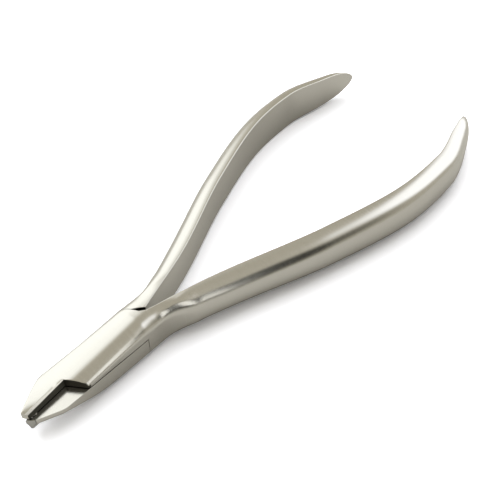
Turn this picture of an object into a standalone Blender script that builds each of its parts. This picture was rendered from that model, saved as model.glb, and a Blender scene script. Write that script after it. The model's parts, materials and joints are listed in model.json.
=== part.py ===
# Lap-jointed orthodontic cutting pliers, shaped as a distal end cutter.
# Two forged arms cross at a flat lap joint, where one shouldered screw holds them together.
# Each jaw is half as deep as the head, and its tip is turned down to carry a small cutting insert.
# The arms are modelled about the pivot: x runs towards the handle ends, y to the left, z up,
# and z = 0 is the plane where the two halves of the lap meet.

import math

import bmesh
import bpy
import numpy as np

MM = 0.001

# Whole tool
OVERALL_LENGTH = 130.0 * MM
TIP_TO_PIVOT = 18.0 * MM
PIVOT_OFFSET = 0.78 * MM  # the pivot sits this far left of the handles' centre line
HEAD_LEAN = math.radians(2.35)  # the head's own centre line leans left towards the tips
HEAD_SHIFT = 0.2 * MM  # and passes this far left of the pivot

# Head and lap joint
HEAD_WIDTH = 7.75 * MM
FRONT_EDGE_RADIUS = 0.6 * MM  # rounding along the head's upper edges, at the jaws and at the shoulder
REAR_EDGE_RADIUS = 0.75 * MM
CROWN_SHARE = 0.33  # the domed top is lower at the sides of the head by this share of its height
CROWN_POWER = 3.4  # 2 would be an even dome, and more is flatter in the middle
LOWER_EDGE_RADIUS = 0.5 * MM
UPPER_DEPTH = 3.9 * MM  # lap plane to the top face, at the shoulder
LOWER_DEPTH = 4.1 * MM  # lap plane to the bottom face
LAP_GAP = 0.2 * MM  # running gap between the two halves
LAP_REAR = 7.1 * MM  # pivot back to the shoulder, at the side of the head
SHOULDER_SLANT = math.radians(26.0)
SHOULDER_GAP = 0.12 * MM
SHOULDER_OPENING = math.radians(22.0)  # the gap at the shoulder widens towards the crotch by this angle
OPENING_START = 0.55  # share of the way in, along the shoulder, where it starts to widen
SHOULDER_INNER = 0.1 * MM  # the shoulder stops this far short of the head's centre line
SHOULDER_SETBACK = 0.3 * MM  # each handle's own side leads the shoulder's inner end by this much
CROTCH = 10.1 * MM  # pivot back to where the handles part
CROTCH_GAP = 0.4 * MM

# Jaws
NOTCH_LENGTH = 8.8 * MM  # tip back to the notch's inner corner
NOTCH_REAR = 11.05 * MM  # tip back to where the notch's rear wall meets the side
UPPER_JAW_DEPTH = 1.9 * MM
LOWER_JAW_DEPTH = 1.6 * MM
RAMP_START = 6.2 * MM  # tip back to the start of the lower jaw's ramp
RAMP_END = 13.6 * MM
JAW_LAP = 0.55 * MM  # how far the lower jaw reaches under the upper one
INNER_EDGE_AT_TIP = -1.02 * MM  # the upper jaw's inner wall, measured from the head's centre line
INNER_EDGE_AT_NOTCH = -0.17 * MM
RIGHT_TAPER = math.radians(24.5)
RIGHT_TIP_WIDTH = 1.25 * MM
LEFT_TAPER = math.radians(31.4)
LEFT_TIP_WIDTH = 0.1 * MM
LEFT_FLARE = 0.3 * MM  # the head's left side is this much wider at the taper than at the pivot
TAPER_BLEND = 0.15 * MM
RAMP_BLEND = 0.4 * MM
TIP_SLANT = 0.9 * MM  # the right side of the tip starts this far behind the left side
JAW_BEVEL = 0.8 * MM  # depth of the bevel along the upper jaw's inner wall, at the tip

# Turned-down tips and their inserts
BLADE_DROP = 3.0 * MM  # lap plane down to the cutting tips
SHEAR_LINE = 1.1 * MM  # tip back to the plane where the two blades pass
BLADE_GAP = 0.1 * MM  # between the blades where they pass, and round their seats
BLADE_LAP = 0.45 * MM  # how far the closed blades pass each other
FRONT_BLADE_LEFT = 0.42 * MM  # left side of the front blade, from the pivot's line
REAR_BLADE_LENGTH = 0.8 * MM
TOE_LENGTH = 0.7 * MM  # length and width of a blade at its lower end
TOE_WIDTH = 0.45 * MM
BLADE_INSET = 0.1 * MM  # how far a seat or a back face lies inside the jaw round it
BEAK_DEPTH = 2.75 * MM  # lap plane down to the lowest point of the web behind the front blade
BEAK_LENGTH = 1.2 * MM

# Pivot screw, put in from below
SCREW_HEAD_RADIUS = 2.5 * MM
SCREW_HEAD_DEPTH = 1.3 * MM
SCREW_SHANK_RADIUS = 1.7 * MM
SCREW_THREAD_RADIUS = 1.3 * MM
SCREW_REACH = 1.9 * MM  # how far its end stands above the lap plane
SCREW_SLOT_WIDTH = 0.6 * MM
SCREW_SLOT_DEPTH = 0.6 * MM
SCREW_CHAMFER = 0.25 * MM
SCREW_GAP = 0.08 * MM
SCREW_SEAT = 0.1 * MM  # the head lies this far inside the bottom face

# Handles
GRIP_SPREAD = 43.2 * MM  # between the two inner faces, at the widest
GRIP_HEIGHT = 9.95 * MM
GRIP_THICKNESS = 4.85 * MM
GRIP_EDGE = 0.2 * MM
GRIP_BELLY = 0.26  # a handle is widest below its middle, by this share of its half height
UPPER_FULLNESS = 2.3  # 2 is an ellipse, and more is squarer
LOWER_FULLNESS = 2.9

# Shape of a handle from the crotch (0) to its end (1), as shares of the three grip sizes
BOW = ((0.0, 0.0), (0.14, 0.193), (0.387, 0.651), (0.632, 0.969), (0.755, 1.0), (0.877, 0.9), (1.0, 0.8))
HEIGHT = ((0.0, 0.82), (0.14, 0.79), (0.387, 0.896), (0.69, 1.0), (0.877, 0.85), (1.0, 0.6))
THICKNESS = (
    (0.0, 0.83), (0.07, 0.815), (0.16, 0.925), (0.28, 0.965), (0.75, 1.0), (0.86, 0.93), (0.94, 0.68), (1.0, 0.45),
)
NECK_SHARE = 0.06  # the outer side leaves the head's side over this share of the handle's length
BLEND_SHARE = 0.16  # and the head's section turns into the handle's over this one
ROUND_START = 0.92  # the end of the handle is rounded off from here
END_FLAT = 0.15  # what is left of its section at the very end

STEEL = (0.62, 0.60, 0.55)
CARBIDE = (0.36, 0.36, 0.35)
ARC_POINTS = 6
OVERSHOOT = 2.0 * MM  # a cutter goes past the face that it cuts by this much
FAR = 40.0 * MM  # reach of the cutters beyond the part


def clear_scene():
    for obj in list(bpy.data.objects):
        bpy.data.objects.remove(obj, do_unlink=True)


def metal(name, colour, roughness):
    material = bpy.data.materials.new(name)
    material.use_nodes = True
    shader = material.node_tree.nodes["Principled BSDF"]
    shader.inputs["Base Color"].default_value = (*colour, 1.0)
    shader.inputs["Metallic"].default_value = 1.0
    shader.inputs["Roughness"].default_value = roughness
    return material


def curve(knots, t):
    """Value at t of the smooth curve through the knots, which is level at each highest or lowest knot."""
    x, y = np.array(knots).T
    slope = np.gradient(y, x)
    rise = np.diff(y)
    slope[1:-1][rise[1:] * rise[:-1] <= 0] = 0.0
    i = int(np.clip(np.searchsorted(x, t) - 1, 0, len(x) - 2))
    step = x[i + 1] - x[i]
    s = (t - x[i]) / step
    start = (1 + 2 * s) * (1 - s) ** 2 * y[i] + s * (1 - s) ** 2 * step * slope[i]
    end = s * s * (3 - 2 * s) * y[i + 1] + s * s * (s - 1) * step * slope[i + 1]
    return float(start + end)


def smooth_min(a, b, blend):
    return -blend * math.log(math.exp(-a / blend) + math.exp(-b / blend))


def ease(t):
    t = min(max(t, 0.0), 1.0)
    return t * t * (3 - 2 * t)


def head_axis(x):
    """y of the head's centre line at x."""
    return HEAD_SHIFT - math.tan(HEAD_LEAN) * x


def right_edge(x):
    from_tip = max(x + TIP_TO_PIVOT, 0.0)
    width = RIGHT_TIP_WIDTH + from_tip * math.tan(RIGHT_TAPER)
    return head_axis(x) - smooth_min(width, HEAD_WIDTH / 2, TAPER_BLEND)


def left_edge(x):
    from_tip = max(x + TIP_TO_PIVOT, 0.0)
    width = LEFT_TIP_WIDTH + from_tip * math.tan(LEFT_TAPER)
    flare = LEFT_FLARE * ease(-x / (TIP_TO_PIVOT - taper_length(LEFT_TAPER, LEFT_TIP_WIDTH)))
    return head_axis(x) + smooth_min(width, HEAD_WIDTH / 2 + flare, TAPER_BLEND)


def taper_length(taper, tip_width):
    """Length from the tip to where a side reaches the full width of the head."""
    return (HEAD_WIDTH / 2 - tip_width) / math.tan(taper)


def top_at(x):
    """Height of the head's top face, which rises from the notch to the shoulder."""
    notch = NOTCH_LENGTH - TIP_TO_PIVOT
    share = (x - notch) / (LAP_REAR - notch)
    if share < 0:
        return UPPER_JAW_DEPTH
    return UPPER_JAW_DEPTH + (UPPER_DEPTH - UPPER_JAW_DEPTH) * min(share, 1.0)


def bottom_at(x):
    full = LOWER_DEPTH - LOWER_JAW_DEPTH
    rise = full * (x + TIP_TO_PIVOT - RAMP_START) / (RAMP_END - RAMP_START)
    return LOWER_JAW_DEPTH + max(0.0, smooth_min(rise, full, RAMP_BLEND))


def corner(wide, tall, fullness, clip=0.0):
    """Quarter of a rounding, from the face outwards, as (distance in from the side, drop from the face).

    With clip, the side is moved in by that much, and the rounding ends there."""
    shape = 2 / fullness
    clip = min(clip, 0.95 * wide)
    last = math.asin((1 - clip / wide) ** (1 / shape))
    points = []
    for k in range(ARC_POINTS):
        angle = last * k / (ARC_POINTS - 1)
        inset = wide * (1 - math.sin(angle) ** shape) - clip
        points.append((inset, tall * (1 - max(math.cos(angle), 0.0) ** shape)))
    return points


def section(inner, outer, top, bottom, edge, above, below, level=0.0, clip=0.0):
    """One closed ring between two plan points, widest at the given level.

    edge is the radius of the inner side's upper and lower rounding, of which clip is cut away. above and
    below are the outer side's upper and lower rounding: (width, height, fullness)."""
    inner, outer = np.array(inner), np.array(outer)
    width = np.linalg.norm(outer - inner)
    across = (outer - inner) / width
    ring = [(0.0, 0.0)]
    ring += [(v, top - drop) for v, drop in reversed(corner(edge[0], edge[0], 2.0, clip))]
    inside, outside = ring[-1][0], width - above[0]
    ring += [(inside + (outside - inside) * share, top) for share in (0.2, 0.35, 0.5, 0.65, 0.8)]
    ring += [(width - v, top - drop) for v, drop in corner(*above)]
    ring += [(width, level)]
    ring += [(width - v, drop - bottom) for v, drop in reversed(corner(*below))]
    ring += [(v, drop - bottom) for v, drop in corner(edge[1], edge[1], 2.0, clip)]
    return [(*(inner + across * v), z) for v, z in ring]


def domed(ring, outer, share=1.0):
    """The ring with its upper part lowered towards the sides of the head, the outer one of which is given."""
    points = []
    for x, y, z in ring:
        aside = min(abs(1 - 2 * math.dist(outer, (x, y)) / HEAD_WIDTH), 1.0)
        drop = CROWN_SHARE * share * aside ** CROWN_POWER
        points.append((x, y, z * (1 - drop) if z > 0 else z))
    return points


def head_section(side, x):
    """Ring across the whole head, from the edge away from the handle to the handle's own side."""
    lead = TIP_SLANT * max(0.0, 1 - (x + TIP_TO_PIVOT) / RAMP_START)
    right, left = (x + lead, right_edge(x + lead)), (x, left_edge(x))
    inner, outer = (left, right) if side < 0 else (right, left)
    top, bottom = top_at(x), bottom_at(x)
    share = ease((x + TIP_TO_PIVOT) / (LAP_REAR + TIP_TO_PIVOT))
    above = min(FRONT_EDGE_RADIUS * (1 - share) + REAR_EDGE_RADIUS * share, 0.45 * top)
    below = min(LOWER_EDGE_RADIUS, 0.45 * bottom)
    ring = section(inner, outer, top, bottom, (above, below), (above, above, 2.0), (below, below, 2.0))
    return domed(ring, outer)


def handle_plan(side, t):
    """Inner and outer plan points of a handle at t."""
    length = OVERALL_LENGTH - TIP_TO_PIVOT - CROTCH
    step = 0.002

    def inner_at(s):
        apart = CROTCH_GAP + (GRIP_SPREAD - CROTCH_GAP) * curve(BOW, s)
        return np.array((CROTCH + length * s, side * apart / 2 - PIVOT_OFFSET))

    tangent = inner_at(min(t + step, 1.0)) - inner_at(max(t - step, 0.0))
    normal = side * np.array((-tangent[1], tangent[0])) / np.linalg.norm(tangent)
    cap = end_cap(t)
    thick = GRIP_THICKNESS * curve(THICKNESS, t) * cap
    inner = inner_at(t)
    outer = inner + normal * thick
    blend = ease(t / NECK_SHARE)
    edge = left_edge(inner[0]) if side > 0 else right_edge(inner[0])
    outer = outer * blend + np.array((inner[0], edge)) * (1 - blend)
    return inner, outer


def end_cap(t):
    if t <= ROUND_START:
        return 1.0
    return math.sqrt(max(1 - ((t - ROUND_START) / (1 - ROUND_START)) ** 2, END_FLAT ** 2))


def handle_section(side, t):
    inner, outer = handle_plan(side, t)
    cap = end_cap(t)
    half = GRIP_HEIGHT / 2 * curve(HEIGHT, t) * cap
    share = ease(t / BLEND_SHARE)
    top = UPPER_DEPTH * (1 - share) + half * share
    bottom = LOWER_DEPTH * (1 - share) + half * share
    width = float(np.linalg.norm(outer - inner))
    edge = GRIP_EDGE * cap
    level = -GRIP_BELLY * half * share
    start = np.array((REAR_EDGE_RADIUS, REAR_EDGE_RADIUS, 2.0))
    above = start * (1 - share) + np.array((width - edge, top - level, UPPER_FULLNESS)) * share
    start = np.array((LOWER_EDGE_RADIUS, LOWER_EDGE_RADIUS, 2.0))
    below = start * (1 - share) + np.array((width - edge, bottom + level, LOWER_FULLNESS)) * share
    ring = section(inner, outer, top, bottom, (edge, edge), above, below, level)
    return domed(ring, outer, 1 - share)


def shoulder_points(side):
    """Plan points of the rear edge of this arm's half of the lap, from the side of the head inwards."""
    away = -side
    lateral = HEAD_WIDTH / 2
    inward = lateral - SHOULDER_INNER
    at_side = (LAP_REAR, head_axis(LAP_REAR) + away * lateral)
    x = LAP_REAR + inward * math.tan(SHOULDER_SLANT)
    return at_side, (x, head_axis(x) + away * (lateral - inward))


def head_stations():
    """x of the rings along the head, closer together where its outline bends."""
    bends = [NOTCH_LENGTH]
    for place, blend in (
        (taper_length(RIGHT_TAPER, RIGHT_TIP_WIDTH), 3 * TAPER_BLEND),
        (taper_length(LEFT_TAPER, LEFT_TIP_WIDTH), 3 * TAPER_BLEND),
        (RAMP_START, 0.0),
        (RAMP_END, 3 * RAMP_BLEND),
    ):
        bends += [place - blend, place, place + blend]
    places = sorted(bends + [TIP_TO_PIVOT / 10, TIP_TO_PIVOT / 5, TIP_TO_PIVOT, TIP_TO_PIVOT + LAP_REAR / 2])
    kept = [0.0]
    for place in places:
        if place - kept[-1] > TAPER_BLEND:
            kept.append(place)
    return [place - TIP_TO_PIVOT for place in kept] + [LAP_REAR]


def arm_mesh(name, side):
    """Full-depth arm: head, shoulder step and handle in one skin."""
    rings = [head_section(side, x) for x in head_stations()]
    at_side, inboard = np.array(shoulder_points(side))
    above = (REAR_EDGE_RADIUS, REAR_EDGE_RADIUS, 2.0)
    below = (LOWER_EDGE_RADIUS, LOWER_EDGE_RADIUS, 2.0)
    for share in (0.1, 0.3, 0.6, 1.0):
        clip = share * REAR_EDGE_RADIUS
        inner = at_side + (inboard - at_side) * clip / np.linalg.norm(inboard - at_side)
        x = inner[0] + SHOULDER_SETBACK * share
        own_edge = left_edge(x) if side > 0 else right_edge(x)
        edge = (REAR_EDGE_RADIUS, LOWER_EDGE_RADIUS)
        ring = section(inner, (x, own_edge), UPPER_DEPTH, LOWER_DEPTH, edge, above, below, clip=clip)
        rings.append(domed(ring, (x, own_edge)))
    x = inboard[0] + SHOULDER_SETBACK
    own_edge = left_edge(x) if side > 0 else right_edge(x)
    edge = (GRIP_EDGE, GRIP_EDGE)
    ring = section(inboard, (x, own_edge), UPPER_DEPTH, LOWER_DEPTH, edge, above, below)
    rings.append(domed(ring, (x, own_edge)))
    stations = [k / 80 for k in range(12)] + [k / 40 for k in range(6, 38)]
    stations += [0.938, 0.955, 0.97, 0.982, 0.991, 0.997, 1.0]
    for t in stations:
        rings.append(handle_section(side, t))
    return loft(name, rings)


def finish_mesh(bm, name):
    bmesh.ops.recalc_face_normals(bm, faces=bm.faces)
    mesh = bpy.data.meshes.new(name)
    bm.to_mesh(mesh)
    bm.free()
    return mesh


def loft(name, rings):
    """Closed skin over rings that all have the same number of points."""
    bm = bmesh.new()
    rows = [[bm.verts.new(p) for p in ring] for ring in rings]
    count = len(rows[0])
    for a, b in zip(rows, rows[1:]):
        for k in range(count):
            bm.faces.new((a[k], a[(k + 1) % count], b[(k + 1) % count], b[k]))
    bm.faces.new(rows[0])
    bm.faces.new(rows[-1])
    return finish_mesh(bm, name)


def prism(name, outline, low, high):
    """Upright prism over a plan outline."""
    bm = bmesh.new()
    face = bm.faces.new([bm.verts.new((x, y, low)) for x, y in outline])
    top = bmesh.ops.extrude_face_region(bm, geom=[face])["geom"]
    lift = [v for v in top if isinstance(v, bmesh.types.BMVert)]
    bmesh.ops.translate(bm, verts=lift, vec=(0, 0, high - low))
    return finish_mesh(bm, name)


def turned(name, profile, steps=40):
    """Solid turned about the pivot axis from (radius, z) points, both ends on the axis."""
    bm = bmesh.new()
    verts = [bm.verts.new((r, 0.0, z)) for r, z in profile]
    edges = [bm.edges.new(pair) for pair in zip(verts, verts[1:])]
    bmesh.ops.spin(bm, geom=verts + edges, cent=(0, 0, 0), axis=(0, 0, 1), angle=2 * math.pi, steps=steps)
    bmesh.ops.remove_doubles(bm, verts=bm.verts, dist=1e-7)
    return finish_mesh(bm, name)


def add_object(name, mesh, parent, material=None):
    obj = bpy.data.objects.new(name, mesh)
    bpy.context.scene.collection.objects.link(obj)
    obj.parent = parent
    if material:
        mesh.materials.append(material)
        mesh.shade_smooth()
        mesh.set_sharp_from_angle(angle=math.radians(35))
    return obj


def add_cutter(name, mesh, parent):
    obj = add_object(name, mesh, parent)
    obj.hide_render = True
    obj.display_type = "WIRE"
    return obj


def boolean(obj, other, operation="DIFFERENCE"):
    modifier = obj.modifiers.new(other.name, "BOOLEAN")
    modifier.operation = operation
    modifier.solver = "EXACT"
    modifier.object = other


def inner_wall():
    """Plan points of the upper jaw's inner wall: past the tip, then the notch's corner."""
    tip = -TIP_TO_PIVOT
    corner = NOTCH_LENGTH - TIP_TO_PIVOT
    at_tip = head_axis(tip) + INNER_EDGE_AT_TIP
    at_corner = head_axis(corner) + INNER_EDGE_AT_NOTCH
    slope = (at_corner - at_tip) / (corner - tip)
    return (tip - OVERSHOOT, at_tip - slope * OVERSHOOT), (corner, at_corner)


def lap_room(side, opening):
    """Plan outline of the room that this arm leaves, ahead of its shoulder, for the other arm's half."""
    at_side = shoulder_points(-side)[0]
    start = (at_side[0] + SHOULDER_GAP, at_side[1])
    inner_y = side * CROTCH_GAP / 4 - PIVOT_OFFSET
    bend_y = start[1] + OPENING_START * (inner_y - start[1])
    bend = (start[0] + abs(start[1] - bend_y) * math.tan(SHOULDER_SLANT), bend_y)
    inner = (bend[0] + abs(bend_y - inner_y) * math.tan(SHOULDER_SLANT + opening), inner_y)
    past = max(inner[0], CROTCH) + HEAD_WIDTH / 2
    return [
        (-FAR, side * FAR),
        (start[0], side * FAR),
        start,
        bend,
        inner,
        (past, inner_y),
        (past, -side * FAR),
        (-FAR, -side * FAR),
    ]


def screw_profile(grow):
    """Outline of the screw, or with grow of the hole that it fits."""
    bottom = -LOWER_DEPTH + (SCREW_SEAT if grow == 0 else -OVERSHOOT)
    head_top = -LOWER_DEPTH + SCREW_SEAT + SCREW_HEAD_DEPTH + grow
    lap = 0.0
    end = SCREW_REACH + grow
    return [
        (0.0, bottom),
        (SCREW_HEAD_RADIUS + grow, bottom),
        (SCREW_HEAD_RADIUS + grow, head_top),
        (SCREW_SHANK_RADIUS + grow, head_top),
        (SCREW_SHANK_RADIUS + grow, lap),
        (SCREW_THREAD_RADIUS + grow, lap),
        (SCREW_THREAD_RADIUS + grow, end - SCREW_CHAMFER),
        (SCREW_THREAD_RADIUS + grow - SCREW_CHAMFER, end),
        (0.0, end),
    ]


def upper_arm(parent, steel):
    """The right handle, which crosses over to become the left jaw."""
    arm = add_object("upper_arm", arm_mesh("upper_arm", -1), parent, steel)
    room = prism("room_for_lower_half", lap_room(-1, 0.0), -FAR, LAP_GAP / 2)
    boolean(arm, add_cutter("room_for_lower_half", room, parent))
    ahead, corner = inner_wall()
    side = (NOTCH_REAR - TIP_TO_PIVOT, right_edge(NOTCH_REAR - TIP_TO_PIVOT))
    outward = (side[0] - corner[0]) / (side[1] - corner[1])
    rear = (side[0] - HEAD_WIDTH * outward, side[1] - HEAD_WIDTH)
    notch = [ahead, corner, rear, (ahead[0], rear[1])]
    boolean(arm, add_cutter("jaw_notch", prism("jaw_notch", notch, -FAR, FAR), parent))
    boolean(arm, add_cutter("jaw_bevel", jaw_bevel_mesh(ahead, corner), parent))
    hole = turned("upper_screw_hole", screw_profile(SCREW_GAP))
    boolean(arm, add_cutter("upper_screw_hole", hole, parent))
    return arm


def jaw_bevel_mesh(ahead, corner):
    """Wedge that bevels the top of the upper jaw's inner wall, deepest at the tip."""
    over = OVERSHOOT
    rise = 4 / 3
    shallow = 0.15 * JAW_BEVEL
    bm = bmesh.new()
    ends = []
    for (x, y), depth in ((ahead, JAW_BEVEL), (corner, shallow)):
        level = UPPER_JAW_DEPTH - depth
        top = UPPER_JAW_DEPTH + over
        outward = (top - level) / rise
        points = [(x, y - over, level - over * rise), (x, y + outward, top), (x, y - over, top)]
        ends.append([bm.verts.new(p) for p in points])
    a, b = ends
    for k in range(3):
        bm.faces.new((a[k], a[(k + 1) % 3], b[(k + 1) % 3], b[k]))
    bm.faces.new(a)
    bm.faces.new(b)
    return finish_mesh(bm, "jaw_bevel")


def lower_arm(parent, steel):
    """The left handle, which passes under to become the right jaw."""
    arm = add_object("lower_arm", arm_mesh("lower_arm", 1), parent, steel)
    room = prism("room_for_upper_half", lap_room(1, SHOULDER_OPENING), -LAP_GAP / 2, FAR)
    boolean(arm, add_cutter("room_for_upper_half", room, parent))
    ahead, corner = inner_wall()
    side = (NOTCH_REAR - TIP_TO_PIVOT, left_edge(NOTCH_REAR - TIP_TO_PIVOT))
    inner = [(ahead[0], ahead[1] + JAW_LAP), (corner[0], corner[1] + JAW_LAP)]
    rear = (side[0] + OVERSHOOT, side[1] + HEAD_WIDTH)
    notch = inner + [side, rear, (ahead[0], rear[1])]
    boolean(arm, add_cutter("lower_jaw_notch", prism("lower_jaw_notch", notch, -FAR, FAR), parent))
    beak = add_cutter("beak", beak_mesh(), parent)
    boolean(arm, beak, "UNION")
    room = prism("room_for_blades", blade_room(), -FAR, FAR)
    boolean(arm, add_cutter("room_for_blades", room, parent))
    hole = turned("lower_screw_hole", screw_profile(SCREW_GAP))
    boolean(arm, add_cutter("lower_screw_hole", hole, parent))
    return arm


def blade_room():
    """Plan outline, at the tip, of what the lower jaw leaves free for the two blades."""
    front = SHEAR_LINE - TIP_TO_PIVOT + BLADE_GAP
    rear = front + REAR_BLADE_LENGTH + 2 * BLADE_GAP
    right = FRONT_BLADE_LEFT - BLADE_LAP - BLADE_GAP
    return [(-FAR, -FAR), (front, -FAR), (front, right), (rear, right), (rear, FAR), (-FAR, FAR)]


def beak_mesh():
    """Web behind the front blade, deep at the tip and running out under the jaw."""
    front = SHEAR_LINE - TIP_TO_PIVOT
    rear = front + BEAK_LENGTH
    left = FRONT_BLADE_LEFT - BLADE_LAP
    inside = -LOWER_JAW_DEPTH / 2
    rings = []
    for x, low, in_by in ((front, -BEAK_DEPTH, 0.0), (rear, 1.2 * inside, BLADE_INSET)):
        right = right_edge(x) + in_by
        foot = 0.65 * left + 0.35 * right
        rings.append([(x, right, inside), (x, foot, low), (x, left, low), (x, left, inside)])
    return loft("beak", rings)


def front_blade(parent, carbide):
    """Insert that forms the lower jaw's tip and cuts with its rear left edge."""
    tip = -TIP_TO_PIVOT
    rear = SHEAR_LINE - TIP_TO_PIVOT
    nose = tip + TIP_SLANT
    left = FRONT_BLADE_LEFT
    rim = [(nose, right_edge(nose)), (tip, left), (rear, left), (rear, right_edge(rear))]
    toe_front, toe_right = rear - TOE_LENGTH, left - TOE_WIDTH
    toe = [
        (toe_front + TOE_LENGTH / 2, toe_right),
        (toe_front, left - TOE_WIDTH / 3),
        (rear, left),
        (rear, toe_right),
    ]
    rings = []
    levels = [(-LAP_GAP / 2, 0.0), (-0.7 * LOWER_JAW_DEPTH, 0.0), (-LOWER_JAW_DEPTH, 0.45), (-BLADE_DROP, 1.0)]
    for z, share in levels:
        rings.append([(*((1 - share) * np.array(a) + share * np.array(b)), z) for a, b in zip(rim, toe)])
    return add_object("front_blade", loft("front_blade", rings), parent, carbide)


def rear_blade(parent, carbide):
    """Insert under the upper jaw's tip, which passes close behind the front one."""
    front = SHEAR_LINE - TIP_TO_PIVOT + BLADE_GAP
    rear = front + REAR_BLADE_LENGTH
    right = FRONT_BLADE_LEFT - BLADE_LAP
    rim = [
        (front, right),
        (front, left_edge(front) - BLADE_INSET),
        (rear, left_edge(rear) - BLADE_INSET),
        (rear, right),
    ]
    toe_left = right + 2 * TOE_WIDTH
    toe = [(front, right), (front, toe_left), (rear - BLADE_INSET, toe_left), (rear - BLADE_INSET, right)]
    rings = []
    for z, share in ((LAP_GAP / 4, 0.0), (-LOWER_JAW_DEPTH, 0.6), (-BLADE_DROP, 1.0)):
        rings.append([(*((1 - share) * np.array(a) + share * np.array(b)), z) for a, b in zip(rim, toe)])
    return add_object("rear_blade", loft("rear_blade", rings), parent, carbide)


def pivot_screw(parent, steel):
    """Shouldered screw whose slotted head lies flush in the underside of the lap."""
    screw = add_object("pivot_screw", turned("pivot_screw", screw_profile(0.0)), parent, steel)
    half, low = SCREW_SLOT_WIDTH / 2, -LOWER_DEPTH - OVERSHOOT
    outline = [(-FAR, -half), (FAR, -half), (FAR, half), (-FAR, half)]
    slot = prism("screw_slot", outline, low, -LOWER_DEPTH + SCREW_SEAT + SCREW_SLOT_DEPTH)
    boolean(screw, add_cutter("screw_slot", slot, parent))
    return screw


def main():
    clear_scene()
    steel = metal("satin_steel", STEEL, 0.35)
    carbide = metal("carbide", CARBIDE, 0.3)
    pivot = bpy.data.objects.new("pivot_axis", None)
    bpy.context.scene.collection.objects.link(pivot)
    pivot.location = (TIP_TO_PIVOT - OVERALL_LENGTH / 2, PIVOT_OFFSET, GRIP_HEIGHT / 2)
    upper_arm(pivot, steel)
    lower_arm(pivot, steel)
    pivot_screw(pivot, steel)
    front_blade(pivot, carbide)
    rear_blade(pivot, carbide)


main()
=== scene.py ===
import json
import math

import bmesh
import bpy
import numpy as np
from mathutils import Matrix, Vector


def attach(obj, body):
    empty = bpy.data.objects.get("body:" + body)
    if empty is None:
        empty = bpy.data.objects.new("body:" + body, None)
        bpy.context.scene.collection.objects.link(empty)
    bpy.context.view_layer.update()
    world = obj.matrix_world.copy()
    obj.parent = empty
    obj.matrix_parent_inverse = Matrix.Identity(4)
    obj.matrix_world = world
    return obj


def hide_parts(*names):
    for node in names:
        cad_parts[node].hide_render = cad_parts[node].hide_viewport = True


# Orthodontic cutting pliers with a lap joint, lying on a white table.
# Every piece is drawn in millimetres about the pivot, then settled into the model's frame:
# x runs to the handle ends, y to the left, z up, and z = 0 is where the two lap halves meet.

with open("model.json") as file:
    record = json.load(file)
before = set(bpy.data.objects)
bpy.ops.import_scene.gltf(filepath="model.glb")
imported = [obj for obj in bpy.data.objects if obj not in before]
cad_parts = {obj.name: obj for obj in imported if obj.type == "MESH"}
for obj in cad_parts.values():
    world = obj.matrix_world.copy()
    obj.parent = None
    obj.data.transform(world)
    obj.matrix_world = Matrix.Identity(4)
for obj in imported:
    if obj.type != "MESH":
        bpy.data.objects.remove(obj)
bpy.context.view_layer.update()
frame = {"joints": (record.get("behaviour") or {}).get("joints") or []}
pivotPlace = Vector(frame["joints"][0]["pos_m"])
print("frame loaded, pivot at", tuple(pivotPlace))

whole = {
    "length": 130.0,
    "tipToPivot": 18.0,
    "pivotOffset": pivotPlace.y * 1000,  # the pivot lies this far left of the handles' centre line
    "headLean": math.radians(2.35),  # the head's own centre line leans left towards the tips
    "headShift": 0.2,  # and passes this far left of the pivot
}
farOff = 40.0  # reach of the cutting tools beyond the pliers
overshoot = 2.0  # a cutting tool goes past the face that it cuts by this much


def linearColour(hexCode, alpha=1.0):
    channels = [int(hexCode[k:k + 2], 16) / 255 for k in (1, 3, 5)]
    return tuple(c / 12.92 if c <= 0.04045 else ((c + 0.055) / 1.055) ** 2.4 for c in channels) + (alpha,)


def addNode(tree, kind, settings=None, links=None):
    node = tree.nodes.new(kind)
    for name, value in (settings or {}).items():
        if isinstance(name, int) or name in node.inputs:
            node.inputs[name].default_value = value
        else:
            setattr(node, name, value)
    for name, socket in (links or {}).items():
        tree.links.new(socket, node.inputs[name])
    return node


def easeInOut(t):
    t = min(max(t, 0.0), 1.0)
    return t * t * (3 - 2 * t)


def softMin(a, b, blend):
    return -blend * math.log(math.exp(-a / blend) + math.exp(-b / blend))


def softRamp(x, blend):
    # the cap only keeps exp in range
    return blend * math.log1p(math.exp(min(x / blend, 60.0)))


def throughKnots(knots, t):
    # smooth curve, level at its highest and lowest knots
    x, y = np.array(knots).T
    slope = np.gradient(y, x)
    rise = np.diff(y)
    slope[1:-1][rise[1:] * rise[:-1] <= 0] = 0.0
    i = int(np.clip(np.searchsorted(x, t) - 1, 0, len(x) - 2))
    step = x[i + 1] - x[i]
    s = (t - x[i]) / step
    start = (1 + 2 * s) * (1 - s) ** 2 * y[i] + s * (1 - s) ** 2 * step * slope[i]
    end = s * s * (3 - 2 * s) * y[i + 1] + s * s * (s - 1) * step * slope[i + 1]
    return float(start + end)


def newPiece(name, bm):
    bmesh.ops.recalc_face_normals(bm, faces=bm.faces)
    mesh = bpy.data.meshes.new(name)
    bm.to_mesh(mesh)
    bm.free()
    piece = bpy.data.objects.new(name, mesh)
    bpy.context.scene.collection.objects.link(piece)
    return piece


def skinOver(name, rings):
    bm = bmesh.new()
    rows = [[bm.verts.new(p) for p in ring] for ring in rings]
    count = len(rows[0])
    for a, b in zip(rows, rows[1:]):
        for k in range(count):
            bm.faces.new((a[k], a[(k + 1) % count], b[(k + 1) % count], b[k]))
    bm.faces.new(rows[0])
    bm.faces.new(rows[-1])
    return newPiece(name, bm)


def plate(name, outline, low, high):
    return skinOver(name, [[(x, y, low) for x, y in outline], [(x, y, high) for x, y in outline]])


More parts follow.
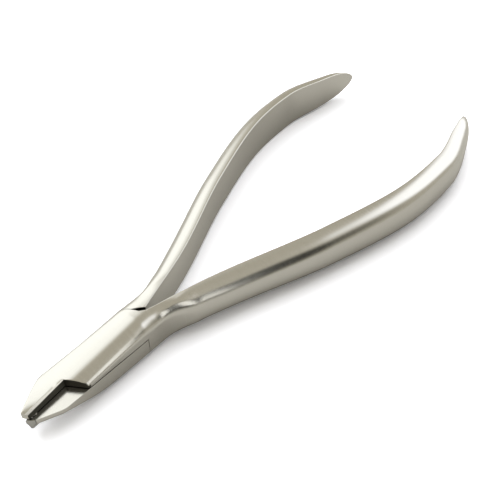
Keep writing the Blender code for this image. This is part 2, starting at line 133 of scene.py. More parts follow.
def turning(name, profile, steps=96):
    bm = bmesh.new()
    verts = [bm.verts.new((r, 0.0, z)) for r, z in profile]
    edges = [bm.edges.new(pair) for pair in zip(verts, verts[1:])]
    bmesh.ops.spin(bm, geom=verts + edges, cent=(0, 0, 0), axis=(0, 0, 1), angle=2 * math.pi, steps=steps)
    bmesh.ops.remove_doubles(bm, verts=bm.verts, dist=1e-4)
    return newPiece(name, bm)


def carve(piece, tools, operation="DIFFERENCE"):
    # the tools are used up
    for tool in tools:
        cut = piece.modifiers.new(tool.name, "BOOLEAN")
        cut.operation, cut.solver, cut.object = operation, "EXACT", tool
    graph = bpy.context.evaluated_depsgraph_get()
    mesh = bpy.data.meshes.new_from_object(piece.evaluated_get(graph))
    piece.modifiers.clear()
    piece.data = mesh
    for tool in tools:
        bpy.data.objects.remove(tool)


edging = {
    "steel": 0.06, "screw": 0.08, "carbide": 0.05,  # radius in mm that grinding leaves
    "sharp": 32, "sharpCarbide": 25,  # edges sharper than this many degrees are broken
    "smoothUnder": 35,
    "merge": 0.002,
}


def breakEdges(piece, radius, steps=2, chosen=None, sharperThan=edging["sharp"]):
    # rounds the convex edges that grinding leaves, all of them or only the chosen ones
    bm = bmesh.new()
    bm.from_mesh(piece.data)
    bmesh.ops.remove_doubles(bm, verts=bm.verts, dist=edging["merge"])
    limit = math.radians(sharperThan)
    edges = [
        e for e in bm.edges
        if e.is_manifold and e.is_convex and e.calc_face_angle(0.0) > limit and (chosen is None or chosen(e))
    ]
    bmesh.ops.bevel(
        bm, geom=edges, offset=radius, segments=steps, profile=0.5, affect="EDGES", clamp_overlap=True,
    )
    bm.to_mesh(piece.data)
    bm.free()


def settle(piece, body, node, materials, finishOrShadeOf=None):
    # millimetres about the pivot become metres in the model's frame
    piece.data.materials.clear()
    for material in materials:
        piece.data.materials.append(material)
    # each face gets its finish, or the painted shade material
    for face in piece.data.polygons:
        face.material_index = finishOrShadeOf(face) if finishOrShadeOf else 0
    piece.data.transform(Matrix.Translation(pivotPlace) @ Matrix.Scale(0.001, 4))
    piece.data.shade_smooth()
    piece.data.set_sharp_from_angle(angle=math.radians(edging["smoothUnder"]))
    flats = piece.modifiers.new("flat faces stay flat", "WEIGHTED_NORMAL")
    flats.keep_sharp = True
    flats.weight = 100
    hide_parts(node)
    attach(piece, body)
    print("made", piece.name, len(piece.data.polygons), "faces")


# placed from the perspective of the photograph's edges
view = {
    "place": (-0.08807, -0.06518, 0.10359),
    "turn": 51.871,  # degrees from +Y towards +X
    "tilt": 44.562,  # degrees below the horizon
    "lens": 47.52,  # mm on a 36 mm sensor
}


def makeCamera():
    turn, tilt = math.radians(view["turn"]), math.radians(view["tilt"])
    ahead = Vector((math.sin(turn) * math.cos(tilt), math.cos(turn) * math.cos(tilt), -math.sin(tilt)))
    camera = bpy.data.objects.new("camera", bpy.data.cameras.new("camera"))
    camera.data.sensor_width = 36
    camera.data.lens = view["lens"]
    camera.data.clip_start = 0.001
    camera.location = view["place"]
    camera.rotation_euler = ahead.to_track_quat("-Z", "Y").to_euler()
    bpy.context.scene.collection.objects.link(camera)
    bpy.context.scene.camera = camera


makeCamera()
print("camera placed")


def steelSurface(name, colour, roughness, grain):
    # grain: width of a scratch, its length and its depth in mm, the axis that it crosses,
    # the spread of the roughness, and the size in mm of the patches that it drifts over
    material = bpy.data.materials.new(name)
    material.use_nodes = True
    tree = material.node_tree
    shader = tree.nodes["Principled BSDF"]
    shader.inputs["Metallic"].default_value = 1.0
    place = addNode(tree, "ShaderNodeTexCoord")
    across, along = 1000 / grain["width"], 1000 / grain["length"]
    stretch = [along, along, along]
    stretch[grain["across"]] = across
    lines = addNode(tree, "ShaderNodeMapping", {"Scale": stretch}, {"Vector": place.outputs["Object"]})
    scratches = addNode(
        tree, "ShaderNodeTexNoise",
        {"Scale": 1.0, "Detail": 3.0, "Roughness": 0.6},
        {"Vector": lines.outputs["Vector"]},
    )
    cloud = addNode(
        tree, "ShaderNodeTexNoise",
        {"Scale": 1000 / grain["patch"], "Detail": 2.0},
        {"Vector": place.outputs["Object"]},
    )
    smoothest, dullest = roughness - grain["spread"], roughness + grain["spread"]
    sheen = addNode(
        tree, "ShaderNodeMapRange",
        {"From Min": 0.3, "From Max": 0.7, "To Min": smoothest, "To Max": dullest},
        {"Value": scratches.outputs["Fac"]},
    )
    drift = addNode(
        tree, "ShaderNodeMath",
        {"operation": "MULTIPLY_ADD", 1: grain["spread"], 2: -grain["spread"] / 2},
        {0: cloud.outputs["Fac"]},
    )
    total = addNode(
        tree, "ShaderNodeMath", {"operation": "ADD"},
        {0: sheen.outputs["Result"], 1: drift.outputs["Value"]},
    )
    tree.links.new(total.outputs["Value"], shader.inputs["Roughness"])
    tint = addNode(
        tree, "ShaderNodeMix",
        {"data_type": "RGBA", 6: linearColour(colour[0]), 7: linearColour(colour[1])},
        {"Factor": scratches.outputs["Fac"]},
    )
    tree.links.new(tint.outputs[2], shader.inputs["Base Color"])
    relief = addNode(
        tree, "ShaderNodeBump",
        {"Strength": 1.0, "Distance": grain["depth"] / 1000},
        {"Height": scratches.outputs["Fac"]},
    )
    tree.links.new(relief.outputs["Normal"], shader.inputs["Normal"])
    return material


# stainless tool steel, brushed across the arm on a fine belt: soft, slightly warm bands of light along it
# a real scratch is under 0.05 mm wide, so these are drawn wider to show at all
satinSteel = steelSurface(
    "satinBrushedStainless", ("#CDCCC8", "#D9D8D4"), 0.21,
    {"width": 0.16, "length": 3.0, "depth": 0.0012, "across": 0, "spread": 0.03, "patch": 9.0},
)
# the same steel painted dark and made duller, as painted shade in the notches and in the lap between the
# halves
shadeDarkenedSteel = steelSurface(
    "stainlessPaintedShade", ("#3E3D38", "#4A4943"), 0.42,
    {"width": 0.2, "length": 2.0, "depth": 0.0015, "across": 2, "spread": 0.04, "patch": 3.0},
)
# turned and slotted stainless screw, finer and smoother than the arms
turnedSteel = steelSurface(
    "turnedStainless", ("#BDBBB3", "#CBC9C2"), 0.2,
    {"width": 0.1, "length": 1.2, "depth": 0.0008, "across": 1, "spread": 0.03, "patch": 4.0},
)
# sintered tungsten carbide, diamond ground: cooler and a little darker than the steel
groundCarbide = steelSurface(
    "groundTungstenCarbide", ("#B2B2B0", "#BEBEBC"), 0.22,
    {"width": 0.08, "length": 0.6, "depth": 0.0005, "across": 2, "spread": 0.03, "patch": 2.0},
)
print("materials ready")


head = {
    "width": 7.75,
    "frontEdge": 0.35, "rearEdge": 0.6, "lowerEdge": 0.5,  # roundings along the sides
    "edgeShare": 0.45,  # but at most this share of the depth
    # the domed top is lower at the left side by this share of its height,
    # and at the right side by this many mm at each x
    "crownLeft": 0.33, "crownPower": 3.2,
    "crownRight": ((-18.0, 0.6), (-6.0, 1.3), (0.0, 1.5), (5.0, 1.7), (9.5, 2.1), (12.0, 2.1)),
    "upper": 3.9,  # lap plane to top face, at the shoulder
    "lower": 4.1,  # lap plane to bottom face
    "lapGap": 0.2,  # between the two halves
    "lapRear": 7.1,  # pivot back to the shoulder, at the side of the head
    "slant": math.radians(26.0),  # of the shoulder
    "shoulderGap": 0.12,
    # the gap at the shoulder widens by this angle, from this share of the way in
    "opening": math.radians(22.0), "openingFrom": 0.55,
    "shoulderInner": 0.1,  # the shoulder stops this far short of the head's centre line
    "setback": 0.3,  # each handle's own side lies this far behind the shoulder's inner end
    "crotch": 10.1,  # pivot back to where the handles part
    "crotchGap": 0.4,
}
jaws = {
    # tip back to the notch's inner corner, and to its rear wall at the side
    "notch": 8.8, "notchRear": 11.05,
    "notchRound": 0.4,  # along the top of that rear wall
    "upper": 1.9, "lower": 1.6,  # depths at the tips
    "topBlend": 0.5,
    "rampStart": 6.2, "rampEnd": 13.6, "rampBlend": 0.4,  # the lower jaw deepens between these, tip back
    "lap": 0.55,  # the lower jaw reaches this far under the upper one
    "wallAtTip": -1.02, "wallAtNotch": -0.17,  # upper jaw's inner wall, from the head's centre line
    "rightTaper": math.radians(24.5), "rightTip": 1.25,
    "leftTaper": math.radians(31.4), "leftTip": 0.1,
    "leftFlare": 0.3,  # the head's left side is this much wider at the taper than at the pivot
    "blend": 0.15,  # of the tapers into the sides
    "slant": 0.9,  # the right side of the tip starts this far behind the left side
    # bevel along the upper jaw's inner wall: depth at the tip, share left at the notch, slope
    "bevel": 0.8, "bevelAtNotch": 0.15, "bevelRise": 4 / 3,
}
grip = {
    "spread": 43.2,  # between the two inner faces, at the widest
    "height": 9.95, "thickness": 4.85, "edge": 0.2,
    "belly": 0.26,  # widest this share of the half height below the middle
    "upperFullness": 2.3, "lowerFullness": 2.6,  # 2 is an ellipse, and more is squarer
    # shares of the handle's length: the outer side leaves the head's side over the first,
    # the head's section turns into the handle's over the second, the end is rounded from the third
    "neck": 0.09, "blend": 0.1, "roundFrom": 0.92,
    "endFlat": 0.15,  # what is left of the section at the very end
    # from the crotch (0) to the end (1), as shares of the spread, the height and the thickness
    "bow": (
        (0.0, 0.0), (0.14, 0.193), (0.387, 0.651), (0.632, 0.969), (0.755, 1.0), (0.877, 0.9), (1.0, 0.8),
    ),
    "rise": ((0.0, 0.82), (0.14, 0.79), (0.387, 0.896), (0.69, 1.0), (0.877, 0.85), (1.0, 0.6)),
    "girth": (
        (0.0, 0.83), (0.07, 0.815), (0.16, 0.925), (0.28, 0.965),
        (0.75, 1.0), (0.86, 0.93), (0.94, 0.68), (1.0, 0.45),
    ),
}
# points along a section, and sections along an arm
fineness = {"arc": 14, "top": 14, "headRings": 60, "gripRings": 190, "endRings": 18, "shoulderRings": 8}


def headLine(x):
    return whole["headShift"] - math.tan(whole["headLean"]) * x


def rightEdge(x):
    width = jaws["rightTip"] + max(x + whole["tipToPivot"], 0.0) * math.tan(jaws["rightTaper"])
    return headLine(x) - softMin(width, head["width"] / 2, jaws["blend"])


def leftEdge(x):
    taper = (head["width"] / 2 - jaws["leftTip"]) / math.tan(jaws["leftTaper"])
    flare = jaws["leftFlare"] * easeInOut(-x / (whole["tipToPivot"] - taper))
    width = jaws["leftTip"] + max(x + whole["tipToPivot"], 0.0) * math.tan(jaws["leftTaper"])
    return headLine(x) + softMin(width, head["width"] / 2 + flare, jaws["blend"])


def ownEdge(side, x):
    return leftEdge(x) if side > 0 else rightEdge(x)


def topAt(x):
    notch = jaws["notch"] - whole["tipToPivot"]
    slope = (head["upper"] - jaws["upper"]) / (head["lapRear"] - notch)
    return min(jaws["upper"] + slope * softRamp(x - notch, jaws["topBlend"]), head["upper"])


def bottomAt(x):
    full = head["lower"] - jaws["lower"]
    rise = full * (x + whole["tipToPivot"] - jaws["rampStart"]) / (jaws["rampEnd"] - jaws["rampStart"])
    return jaws["lower"] + max(0.0, softMin(rise, full, jaws["rampBlend"]))


def rounding(wide, tall, fullness, clip=0.0):
    # from the face outwards, as (distance in from the side, drop from the face); clip moves the side in
    shape = 2 / fullness
    clip = min(clip, 0.95 * wide)
    last = math.asin((1 - clip / wide) ** (1 / shape))
    angles = [last * k / (fineness["arc"] - 1) for k in range(fineness["arc"])]
    return [
        (wide * (1 - math.sin(a) ** shape) - clip, tall * (1 - max(math.cos(a), 0.0) ** shape))
        for a in angles
    ]


def ring(inner, outer, top, bottom, edge, above, below, level=0.0, clip=0.0, crown=(0.0, 0.0)):
    # one closed section between two plan points, widest at the given level, its top lower at the sides
    inner, outer = np.array(inner), np.array(outer)
    width = float(np.linalg.norm(outer - inner))
    across = (outer - inner) / width
    upperIn = [(v, top - drop) for v, drop in reversed(rounding(edge[0], edge[0], 2.0, clip))]
    upperOut = [(width - v, top - drop) for v, drop in rounding(*above)]
    lowerOut = [(width - v, drop - bottom) for v, drop in reversed(rounding(*below))]
    lowerIn = [(v, drop - bottom) for v, drop in rounding(edge[1], edge[1], 2.0, clip)]

    def between(a, b):
        shares = np.linspace(0, 1, fineness["top"])[1:-1]
        return [(a[0] + (b[0] - a[0]) * s, a[1] + (b[1] - a[1]) * s) for s in shares]

    upper = upperIn + between(upperIn[-1], upperOut[0]) + upperOut
    lower = lowerOut + between(lowerOut[-1], lowerIn[0]) + lowerIn
    for k, (v, z) in enumerate(upper):
        aside = min(max(1 - 2 * (width - v) / head["width"], -1.0), 1.0)
        upper[k] = (v, z * (1 - crown[int(aside > 0)] * abs(aside) ** head["crownPower"]))
    return [(*(inner + across * v), z) for v, z in [(0.0, 0.0)] + upper + [(width, level)] + lower]


def crownAt(side, x, top):
    # shares of the height that the top loses at the ring's inner and outer sides
    shares = (head["crownLeft"], throughKnots(head["crownRight"], x) / top)
    return shares if side < 0 else shares[::-1]


def headRing(side, x):
    lead = jaws["slant"] * max(0.0, 1 - (x + whole["tipToPivot"]) / jaws["rampStart"])
    right, left = (x + lead, rightEdge(x + lead)), (x, leftEdge(x))
    inner, outer = (left, right) if side < 0 else (right, left)
    top, bottom = topAt(x), bottomAt(x)
    share = easeInOut((x + whole["tipToPivot"]) / (head["lapRear"] + whole["tipToPivot"]))
    above = min(head["frontEdge"] * (1 - share) + head["rearEdge"] * share, head["edgeShare"] * top)
    below = min(head["lowerEdge"], head["edgeShare"] * bottom)
    return ring(
        inner, outer, top, bottom, (above, below), (above, above, 2.0), (below, below, 2.0),
        crown=crownAt(side, x, top),
    )


def shoulderRing(side, share):
    # follows the slanted rear edge of this arm's half of the lap, from the side of the head inwards
    atSide, inboard = np.array(shoulderPoints(side))
    inward = float(np.linalg.norm(inboard - atSide))
    inner = atSide + (inboard - atSide) * share
    x = inner[0] + head["setback"] * share
    above, below = (head["rearEdge"],) * 2 + (2.0,), (head["lowerEdge"],) * 2 + (2.0,)
    edges = (head["rearEdge"], head["lowerEdge"]) if share < 1 else (grip["edge"],) * 2
    return ring(
        inner, (x, ownEdge(side, x)), head["upper"], head["lower"], edges, above, below,
        clip=share * inward if share < 1 else 0.0, crown=crownAt(side, x, head["upper"]),
    )


def endCap(t):
    if t <= grip["roundFrom"]:
        return 1.0
    return math.sqrt(max(1 - ((t - grip["roundFrom"]) / (1 - grip["roundFrom"])) ** 2, grip["endFlat"] ** 2))


def gripInner(side, t):
    length = whole["length"] - whole["tipToPivot"] - head["crotch"]
    apart = head["crotchGap"] + (grip["spread"] - head["crotchGap"]) * throughKnots(grip["bow"], t)
    return np.array((head["crotch"] + length * t, side * apart / 2 - whole["pivotOffset"]))


def gripRing(side, t):
    step = 0.002
    tangent = gripInner(side, min(t + step, 1.0)) - gripInner(side, max(t - step, 0.0))
    normal = side * np.array((-tangent[1], tangent[0])) / np.linalg.norm(tangent)
    cap = endCap(t)
    inner = gripInner(side, t)
    outer = inner + normal * grip["thickness"] * throughKnots(grip["girth"], t) * cap
    blend = easeInOut(t / grip["neck"])
    outer = outer * blend + np.array((inner[0], ownEdge(side, inner[0]))) * (1 - blend)
    half = grip["height"] / 2 * throughKnots(grip["rise"], t) * cap
    share = easeInOut(t / grip["blend"])
    top = head["upper"] * (1 - share) + half * share
    bottom = head["lower"] * (1 - share) + half * share
    width = float(np.linalg.norm(outer - inner))
    edge = grip["edge"] * cap
    level = -grip["belly"] * half * share
    above = np.array((head["rearEdge"], head["rearEdge"], 2.0)) * (1 - share)
    above += np.array((width - edge, top - level, grip["upperFullness"])) * share
    below = np.array((head["lowerEdge"], head["lowerEdge"], 2.0)) * (1 - share)
    below += np.array((width - edge, bottom + level, grip["lowerFullness"])) * share
    lastCrown = head["crownRight"][-1][0]
    crown = np.array(crownAt(side, min(inner[0], lastCrown), top)) * (1 - share)
    return ring(inner, outer, top, bottom, (edge, edge), above, below, level, crown=crown)


def shoulderPoints(side):
    half = head["width"] / 2
    inward = half - head["shoulderInner"]
    x = head["lapRear"] + inward * math.tan(head["slant"])
    outside = (head["lapRear"], headLine(head["lapRear"]) - side * half)
    return outside, (x, headLine(x) - side * (half - inward))


def wholeArm(name, side):
    stations = np.linspace(-whole["tipToPivot"], head["lapRear"], fineness["headRings"])
    rings = [headRing(side, x) for x in stations]
    steps = fineness["shoulderRings"]
    rings += [shoulderRing(side, k / steps) for k in range(1, steps + 1)]
    rings += [gripRing(side, t) for t in np.linspace(0, grip["roundFrom"], fineness["gripRings"])]
    for k in range(1, fineness["endRings"] + 1):
        turn = math.pi / 2 * k / fineness["endRings"]
        rings.append(gripRing(side, grip["roundFrom"] + (1 - grip["roundFrom"]) * math.sin(turn)))
    return skinOver(name, rings)


def lapRoom(side, opening):
    outside = shoulderPoints(-side)[0]
    start = (outside[0] + head["shoulderGap"], outside[1])
    innerY = side * head["crotchGap"] / 4 - whole["pivotOffset"]
    bendY = start[1] + head["openingFrom"] * (innerY - start[1])
    bend = (start[0] + abs(start[1] - bendY) * math.tan(head["slant"]), bendY)
    inner = (bend[0] + abs(bendY - innerY) * math.tan(head["slant"] + opening), innerY)
    past = max(inner[0], head["crotch"]) + head["width"] / 2
    return [
        (-farOff, side * farOff), (start[0], side * farOff), start, bend, inner,
        (past, innerY), (past, -side * farOff), (-farOff, -side * farOff),
    ]


def jawWall():
    tip, corner = -whole["tipToPivot"], jaws["notch"] - whole["tipToPivot"]
    atTip, atCorner = headLine(tip) + jaws["wallAtTip"], headLine(corner) + jaws["wallAtNotch"]
    slope = (atCorner - atTip) / (corner - tip)
    return (tip - overshoot, atTip - slope * overshoot), (corner, atCorner)


def wallAt(x):
    (x0, y0), (x1, y1) = jawWall()
    return y0 + (y1 - y0) * (x - x0) / (x1 - x0)


screw = {
    # reach: how far its end stands above the lap plane; seat: how far its head lies inside the bottom face
    "headRadius": 2.5, "headDepth": 1.3, "shank": 1.7, "thread": 1.3, "reach": 1.9,
    "slotWidth": 0.6, "slotDepth": 0.6, "gap": 0.08, "seat": 0.1, "chamfer": 0.25,
}


def screwProfile(grow):
    bottom = -head["lower"] + (screw["seat"] if grow == 0 else -overshoot)
    headTop = -head["lower"] + screw["seat"] + screw["headDepth"] + grow
    end = screw["reach"] + grow
    thread = screw["thread"] + grow
    return [
        (0.0, bottom), (screw["headRadius"] + grow, bottom), (screw["headRadius"] + grow, headTop),
        (screw["shank"] + grow, headTop), (screw["shank"] + grow, 0.0), (thread, 0.0),
        (thread, end - screw["chamfer"]), (thread - screw["chamfer"], end), (0.0, end),
    ]


# how a wall is told from other faces: parts of its normal, and distances in mm from its own line
walls = {
    "upright": 0.3, "level": 0.9, "facing": 0.8,
    "onEdge": 0.05, "topShare": 0.6, "offCorner": 0.2,
    "rear": 0.3, "pastSide": 0.6, "pastCorner": 0.1, "side": 0.15,
    "shoulderAhead": 0.5, "shoulderBehind": 1.5, "belowLap": 0.2,
}


def makeUpperArm():
    arm = wholeArm("upperArmForging", -1)
    ahead, corner = jawWall()
    sideX = jaws["notchRear"] - whole["tipToPivot"]
    side = (sideX, rightEdge(sideX))
    outward = (side[0] - corner[0]) / (side[1] - corner[1])
    rear = (side[0] - head["width"] * outward, side[1] - head["width"])
    carve(arm, [
        plate("roomBelow", lapRoom(-1, 0.0), -farOff, head["lapGap"] / 2),
        plate("jawNotch", [ahead, corner, rear, (ahead[0], rear[1])], -farOff, farOff),
        turning("screwHole", screwProfile(screw["gap"])),
    ])

    def fromRearWall(place):
        return abs((place.x - corner[0]) - (place.y - corner[1]) * outward)

    def onRearWallTop(edge):
        middle = (edge.verts[0].co + edge.verts[1].co) / 2
        atTop = middle.z > walls["topShare"] * jaws["upper"] and middle.y < corner[1] - walls["offCorner"]
        return fromRearWall(middle) < walls["onEdge"] and atTop

    def paintedShadeFace(face):
        # faces given the painted shade: the notch's rear wall, the wall beside it, and the underside in the
        # lap
        place, upright = face.center, abs(face.normal.z) < walls["upright"]
        inNotch = place.x < sideX + walls["pastSide"] and place.y < corner[1] + walls["pastCorner"]
        atRear = inNotch and fromRearWall(place) < walls["rear"]
        onSide = face.normal.y < -walls["facing"] and place.y > wallAt(place.x) - walls["side"]
        beside = place.x < corner[0] and onSide
        inLap = abs(face.normal.z) > walls["level"] and abs(place.z) < head["lapGap"]
        return 1 if upright and (atRear or beside) or inLap else 0

    breakEdges(arm, jaws["notchRound"], 4, onRearWallTop)
    carve(arm, [jawBevel(ahead, corner)])
    breakEdges(arm, edging["steel"])
    # the dark steel paints shade onto these faces
    settle(arm, "upper", "upper_arm", [satinSteel, shadeDarkenedSteel], paintedShadeFace)


def jawBevel(ahead, corner):
    # wedge along the top of the upper jaw's inner wall, full at the tip and nearly nothing at the notch
    over, rise = overshoot, jaws["bevelRise"]
    ends = []
    for (x, y), depth in ((ahead, jaws["bevel"]), (corner, jaws["bevelAtNotch"] * jaws["bevel"])):
        level, top = jaws["upper"] - depth, jaws["upper"] + over
        ends.append([
            (x, y - over, level - over * rise), (x, y + (top - level) / rise, top), (x, y - over, top),
        ])
    return skinOver("jawBevel", ends)


blades = {
    "drop": 3.0,  # lap plane down to the cutting tips
    "shear": 1.1,  # tip back to the plane where the two blades pass
    "gap": 0.1,  # between them there, and round their seats
    "lap": 0.45,  # the closed blades pass each other by this much
    "frontLeft": 0.42,  # left side of the front blade, from the pivot's line
    "rearLength": 0.8, "inset": 0.1, "toeLength": 0.7, "toeWidth": 0.45,
    # on the way down: share of the lower jaw's depth, and of the way to the toe's outline
    "frontTaper": ((0.7, 0.0), (1.0, 0.45)), "rearTaper": ((1.0, 0.6),),
    # web behind the front blade: depth and length, where its foot lies, and how deep its rear end is
    "beakDepth": 2.75, "beakLength": 1.2, "beakFoot": 0.65, "beakRear": 1.2,
}


def bladeRoom():
    front = blades["shear"] - whole["tipToPivot"] + blades["gap"]
    rear = front + blades["rearLength"] + 2 * blades["gap"]
    right = blades["frontLeft"] - blades["lap"] - blades["gap"]
    return [
        (-farOff, -farOff), (front, -farOff), (front, right),
        (rear, right), (rear, farOff), (-farOff, farOff),
    ]


def beak():
    # web behind the front blade, running out under the jaw
    front = blades["shear"] - whole["tipToPivot"]
    rear = front + blades["beakLength"]
    left, inside = blades["frontLeft"] - blades["lap"], -jaws["lower"] / 2
    rings = []
    ends = (front, -blades["beakDepth"], 0.0), (rear, blades["beakRear"] * inside, blades["inset"])
    for x, low, inBy in ends:
        right = rightEdge(x) + inBy
        foot = blades["beakFoot"] * left + (1 - blades["beakFoot"]) * right
        rings.append([(x, right, inside), (x, foot, low), (x, left, low), (x, left, inside)])
    return skinOver("beak", rings)


def makeLowerArm():
    arm = wholeArm("lowerArmForging", 1)
    ahead, corner = jawWall()
    sideX = jaws["notchRear"] - whole["tipToPivot"]
    side = (sideX, leftEdge(sideX))
    notch = [
        (ahead[0], ahead[1] + jaws["lap"]), (corner[0], corner[1] + jaws["lap"]),
        side, (side[0] + overshoot, side[1] + head["width"]), (ahead[0], side[1] + head["width"]),
    ]
    carve(arm, [
        plate("roomAbove", lapRoom(1, head["opening"]), -head["lapGap"] / 2, farOff),
        plate("lowerNotch", notch, -farOff, farOff),
    ])
    carve(arm, [beak()], "UNION")
    carve(arm, [
        plate("bladeRoom", bladeRoom(), -farOff, farOff),
        turning("screwHole", screwProfile(screw["gap"])),
    ])

    def paintedShadeFace(face):
        # painted shade on the wall that faces the other arm's shoulder
        place, upright = face.center, abs(face.normal.z) < walls["upright"]
        ahead, behind = head["lapRear"] - walls["shoulderAhead"], head["crotch"] + walls["shoulderBehind"]
        nearShoulder = ahead < place.x < behind and abs(place.y) < head["width"] / 2
        forward = face.normal.x < -walls["upright"] and place.z > -walls["belowLap"]
        return 1 if upright and nearShoulder and forward else 0

    breakEdges(arm, edging["steel"])
    # the dark steel paints shade onto that wall
    settle(arm, "lower", "lower_arm", [satinSteel, shadeDarkenedSteel], paintedShadeFace)


makeUpperArm()
makeLowerArm()
print("arms made")


def makeScrew():
    piece = turning("pivotScrew", screwProfile(0.0))
    half, low = screw["slotWidth"] / 2, -head["lower"] - overshoot
    outline = [(-farOff, -half), (farOff, -half), (farOff, half), (-farOff, half)]
    carve(piece, [plate("slot", outline, low, -head["lower"] + screw["seat"] + screw["slotDepth"])])
    breakEdges(piece, edging["screw"])
    settle(piece, "upper", "pivot_screw", [turnedSteel])


def tapered(rim, toe, top, taper):
    # outlines from the rim at the top down to the toe
    levels = [(top, 0.0)]
    levels += [(-depth * jaws["lower"], share) for depth, share in taper]
    levels.append((-blades["drop"], 1.0))
    return [
        [(*((1 - share) * np.array(a) + share * np.array(b)), z) for a, b in zip(rim, toe)]
        for z, share in levels
    ]


def makeFrontBlade():
    tip = -whole["tipToPivot"]
    rear, nose, left = tip + blades["shear"], tip + jaws["slant"], blades["frontLeft"]
    rim = [(nose, rightEdge(nose)), (tip, left), (rear, left), (rear, rightEdge(rear))]
    toeFront, toeRight = rear - blades["toeLength"], left - blades["toeWidth"]
    toe = [
        (toeFront + blades["toeLength"] / 2, toeRight), (toeFront, left - blades["toeWidth"] / 3),
        (rear, left), (rear, toeRight),
    ]
    piece = skinOver("frontBlade", tapered(rim, toe, -head["lapGap"] / 2, blades["frontTaper"]))
    breakEdges(piece, edging["carbide"], sharperThan=edging["sharpCarbide"])
    settle(piece, "lower", "front_blade", [groundCarbide])


def makeRearBlade():
    front = blades["shear"] - whole["tipToPivot"] + blades["gap"]
    rear, right, inset = front + blades["rearLength"], blades["frontLeft"] - blades["lap"], blades["inset"]
    rim = [(front, right), (front, leftEdge(front) - inset), (rear, leftEdge(rear) - inset), (rear, right)]
    toeLeft = right + 2 * blades["toeWidth"]
    toe = [(front, right), (front, toeLeft), (rear - inset, toeLeft), (rear - inset, right)]
    piece = skinOver("rearBlade", tapered(rim, toe, head["lapGap"] / 4, blades["rearTaper"]))
    breakEdges(piece, edging["carbide"], sharperThan=edging["sharpCarbide"])
    settle(piece, "upper", "rear_blade", [groundCarbide])


makeScrew()
makeFrontBlade()
makeRearBlade()
print("screw and inserts made")


tableTop = {
    # pure white to the camera except where the tool shades it, and light grey to the metal
    "toCamera": (1.25, 1.27, 1.36, 1.0), "toMetal": "#BFBDB8",
    "glow": 0.05,  # seen by the camera alone
    "roughness": 0.9, "reach": 1.5,
}


def makeTable():
    material = bpy.data.materials.new("mattWhiteTable")
    material.use_nodes = True
    tree = material.node_tree
    shader = tree.nodes["Principled BSDF"]
    shader.inputs["Roughness"].default_value = tableTop["roughness"]
    shader.inputs["Specular IOR Level"].default_value = 0.0
    rays = addNode(tree, "ShaderNodeLightPath").outputs["Is Camera Ray"]
    paint = addNode(
        tree, "ShaderNodeMix",
        {"data_type": "RGBA", 6: linearColour(tableTop["toMetal"]), 7: tableTop["toCamera"]}, {0: rays},
    )
    tree.links.new(paint.outputs[2], shader.inputs["Base Color"])
    shader.inputs["Emission Color"].default_value = (1, 1, 1, 1)
    glow = addNode(tree, "ShaderNodeMath", {"operation": "MULTIPLY", 1: tableTop["glow"]}, {0: rays})
    tree.links.new(glow.outputs[0], shader.inputs["Emission Strength"])
    bm = bmesh.new()
    bmesh.ops.create_grid(bm, x_segments=1, y_segments=1, size=tableTop["reach"])
    table = newPiece("table", bm)
    table.data.materials.append(material)


studio = {
    "walls": ("#C2BCAB", 1.0),  # colour and strength
    # round reflectors: azimuth from +X towards +Y, elevation and roll in degrees,
    # then half width, half height, soft edge, colour and strength
    "cards": [
        (-17, 28, -32, 0.65, 0.41, 0.18, "#FFFFFF", 1.6),
        (86, 32, 0, 0.50, 0.56, 0.22, "#FFFFFA", 1.6),
        (-131, 28, 0, 0.83, 0.46, 0.16, "#34332E", 1.0),
    ],
    # overhead lamp that gives the table its shadow: azimuth, elevation, softness in degrees and strength
    "lamp": (60, 66, 60, 1.7),
}


strip = {
    # low strip light beside the head, seen by the metal alone: y and the (x, z) corners in mm
    "beside": -80.0, "corners": ((-48.0, 28.0), (-26.0, 16.0), (-26.0, 84.0), (-48.0, 92.0)),
    "colour": "#FFFDF6", "strength": 1.4,
}


def makeStrip():
    material = bpy.data.materials.new("stripDiffuser")
    material.use_nodes = True
    tree = material.node_tree
    tree.nodes.clear()
    glow = addNode(
        tree, "ShaderNodeEmission", {"Color": linearColour(strip["colour"]), "Strength": strip["strength"]},
    )
    addNode(tree, "ShaderNodeOutputMaterial", {}, {"Surface": glow.outputs[0]})
    bm = bmesh.new()
    bm.faces.new([bm.verts.new((x / 1000, strip["beside"] / 1000, z / 1000)) for x, z in strip["corners"]])
    card = newPiece("stripLight", bm)
    card.data.materials.append(material)
    card.visible_camera = card.visible_diffuse = card.visible_shadow = False


def makeLamp():
    azimuth, elevation, softness, strength = studio["lamp"]
    turn, lift = math.radians(azimuth), math.radians(elevation)
    lamp = bpy.data.objects.new("overheadLamp", bpy.data.lights.new("overheadLamp", "SUN"))
    lamp.data.energy, lamp.data.angle = strength, math.radians(softness)
    towards = Vector((math.cos(turn) * math.cos(lift), math.sin(turn) * math.cos(lift), math.sin(lift)))
    lamp.rotation_euler = towards.to_track_quat("Z", "Y").to_euler()
    lamp.visible_glossy = False  # the metal shows the cards alone
    bpy.context.scene.collection.objects.link(lamp)


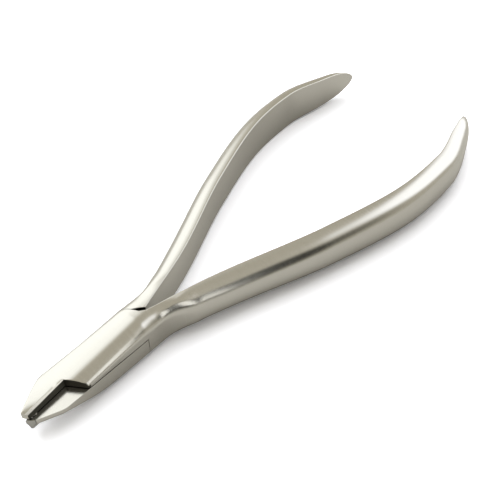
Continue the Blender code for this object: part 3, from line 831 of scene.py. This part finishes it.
def makeStudio():
    world = bpy.data.worlds.new("lightTent")
    bpy.context.scene.world = world
    world.use_nodes = True
    tree = world.node_tree
    tree.nodes.clear()
    place = addNode(tree, "ShaderNodeTexCoord").outputs["Generated"]
    colour, strength = studio["walls"]
    light = addNode(
        tree, "ShaderNodeVectorMath",
        {"operation": "SCALE", 0: linearColour(colour)[:3], "Scale": strength},
    ).outputs[0]
    for azimuth, elevation, roll, halfWidth, halfHeight, soft, colour, strength in studio["cards"]:
        turn, lift, roll = math.radians(azimuth), math.radians(elevation), math.radians(roll)
        ahead = Vector((math.cos(turn) * math.cos(lift), math.sin(turn) * math.cos(lift), math.sin(lift)))
        aside = Vector((-math.sin(turn), math.cos(turn), 0.0))
        above = ahead.cross(aside)
        reach = []
        for axis, half in (
            (math.cos(roll) * aside + math.sin(roll) * above, halfWidth),
            (math.cos(roll) * above - math.sin(roll) * aside, halfHeight),
            (ahead, 1.0),
        ):
            dot = addNode(
                tree, "ShaderNodeVectorMath",
                {"operation": "DOT_PRODUCT", 1: axis / half}, {0: place},
            )
            reach.append(dot.outputs["Value"])
        offset = addNode(tree, "ShaderNodeCombineXYZ", {}, {0: reach[0], 1: reach[1]})
        distance = addNode(
            tree, "ShaderNodeVectorMath", {"operation": "LENGTH"}, {0: offset.outputs[0]},
        ).outputs["Value"]
        inside = addNode(
            tree, "ShaderNodeMapRange",
            {"interpolation_type": "SMOOTHSTEP", "From Min": 1 + soft, "From Max": 1 - soft},
            {"Value": distance},
        ).outputs[0]
        front = addNode(
            tree, "ShaderNodeMath", {"operation": "GREATER_THAN", 1: 0.0}, {0: reach[2]},
        ).outputs[0]
        share = addNode(tree, "ShaderNodeMath", {"operation": "MULTIPLY"}, {0: inside, 1: front}).outputs[0]
        card = tuple(c * strength for c in linearColour(colour)[:3])
        light = addNode(
            tree, "ShaderNodeMix", {"data_type": "VECTOR", 5: card}, {0: share, 4: light},
        ).outputs[1]
    rays = addNode(tree, "ShaderNodeLightPath")
    shown = addNode(
        tree, "ShaderNodeMix", {"data_type": "VECTOR", 5: (1.0, 1.0, 1.0)},
        {0: rays.outputs["Is Camera Ray"], 4: light},
    )
    back = addNode(tree, "ShaderNodeBackground", {}, {"Color": shown.outputs[1]})
    addNode(tree, "ShaderNodeOutputWorld", {}, {"Surface": back.outputs[0]})


makeTable()
makeStudio()
makeLamp()
makeStrip()
bpy.context.scene.view_settings.view_transform = "Standard"
print("table and light ready")
